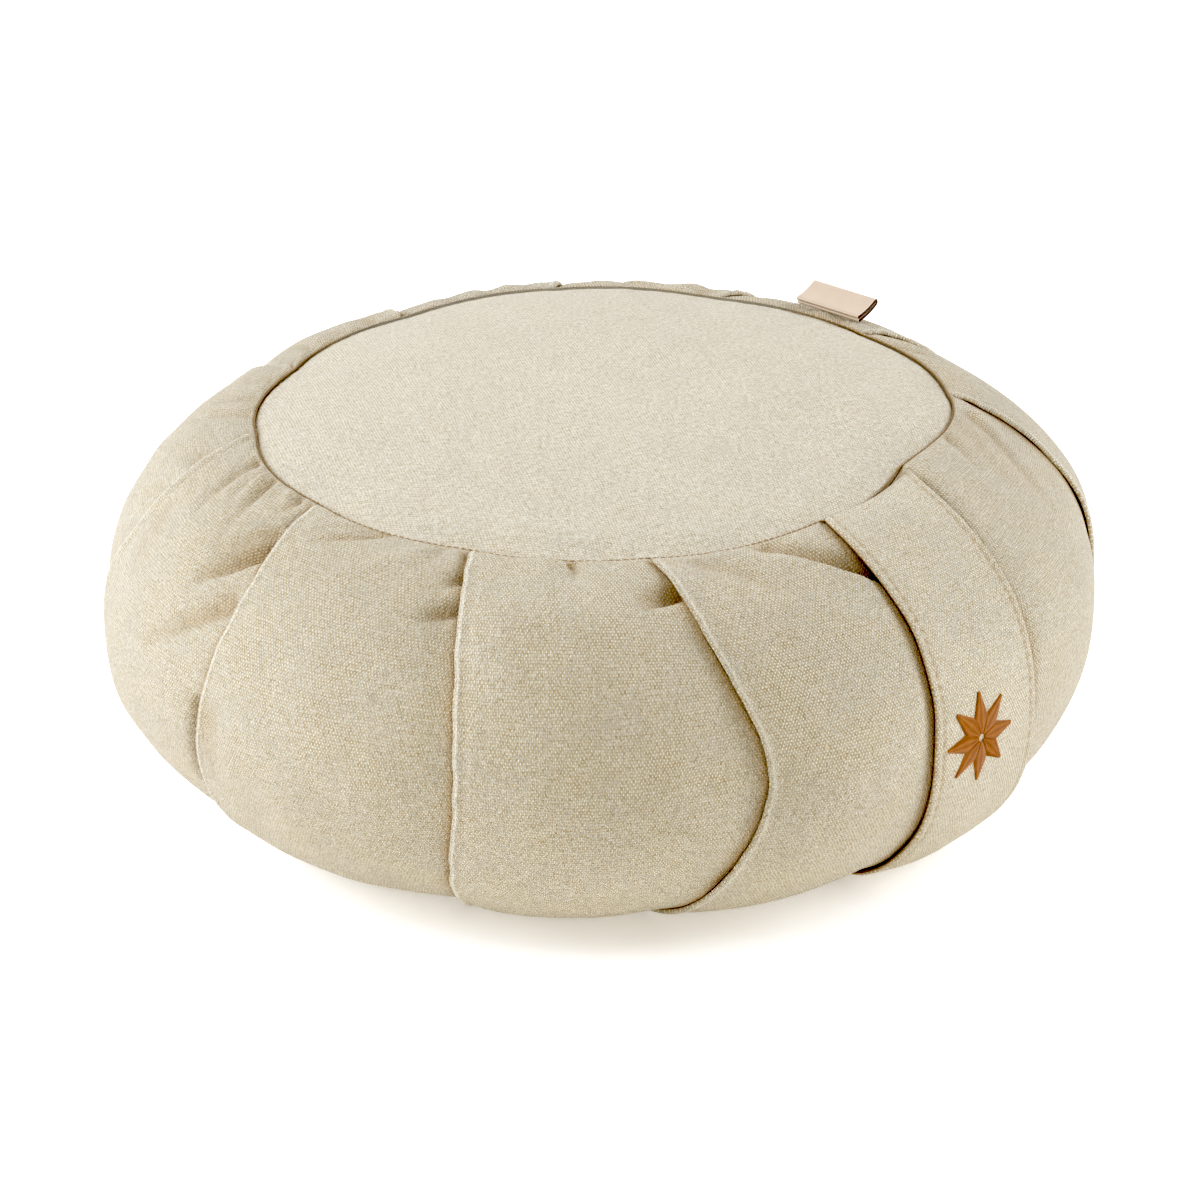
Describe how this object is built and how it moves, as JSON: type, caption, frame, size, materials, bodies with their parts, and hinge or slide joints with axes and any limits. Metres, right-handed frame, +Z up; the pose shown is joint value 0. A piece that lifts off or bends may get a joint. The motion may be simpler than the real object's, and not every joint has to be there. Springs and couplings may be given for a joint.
{
  "type": "zafu meditation cushion",
  "caption": "Round filled canvas floor cushion with a knife-pleated side, crowned top panel, wide flat carry strap and a small folded leather tab.",
  "frame": {"origin": "on the floor, under the middle of the whole cushion's bounding box", "axes": "+Z up, from the base panel to the top panel; -Y is the front, as the picture shows it, with the carry strap at the front right; +X to the right"},
  "size_m": [0.3562, 0.3542, 0.142],
  "materials": {
    "band_canvas": "coarse undyed plain-weave canvas, matt, laid in knife pleats",
    "panel_canvas": "coarse undyed plain-weave canvas, matt",
    "base_canvas": "coarse undyed plain-weave canvas, matt",
    "strap_canvas": "doubled plain-weave canvas with topstitched edges",
    "pale_leather": "smooth pale leather with brown cut edges"
  },
  "bodies": {
    "root": {"pleated_body": "band_canvas", "top_panel": "panel_canvas", "base_panel": "base_canvas", "carry_strap": "strap_canvas", "label_tab": "pale_leather"}
  },
  "joints": []
}
